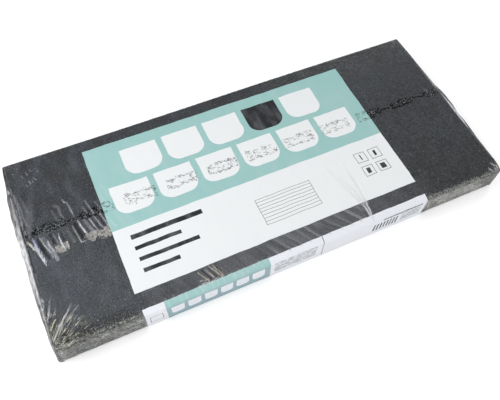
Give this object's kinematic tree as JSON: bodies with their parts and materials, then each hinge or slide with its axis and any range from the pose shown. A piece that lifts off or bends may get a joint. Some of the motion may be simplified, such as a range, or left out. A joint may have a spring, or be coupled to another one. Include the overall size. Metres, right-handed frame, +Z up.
{
  "type": "asphalt shingle bundle",
  "caption": "Flat bundle of three-tab bitumen roof shingles with mineral granules, shrink-wrapped in a sleeve of clear, partly printed film.",
  "frame": {"origin": "centre of the film's flat underside, on the floor", "axes": "+X along the strips, -Y towards the long side where the top strip shows its tabs, +Z up through the stack"},
  "size_m": [1.0258, 0.4406, 0.0679],
  "materials": {
    "shingle": "charcoal mineral granules on bitumen, matt and gritty, with glossy black sealant dashes",
    "clear_film": "clear polyethylene shrink film, glossy, wrinkled at the ends and dusty in places",
    "printed_film": "the same film with opaque pale teal and white ink behind it"
  },
  "bodies": {
    "root": {"shingle_01": "shingle", "shingle_02": "shingle", "shingle_03": "shingle", "shingle_04": "shingle", "shingle_05": "shingle", "shingle_06": "shingle", "shingle_07": "shingle", "shingle_08": "shingle", "shingle_09": "shingle", "shingle_10": "shingle", "shingle_11": "shingle", "shingle_12": "shingle", "shingle_13": "shingle", "shingle_14": "shingle", "shingle_15": "shingle", "shingle_16": "shingle", "shingle_17": "shingle", "shingle_18": "shingle", "shingle_19": "shingle", "shingle_20": "shingle", "shingle_21": "shingle", "wrap_film": "clear_film"}
  },
  "joints": []
}
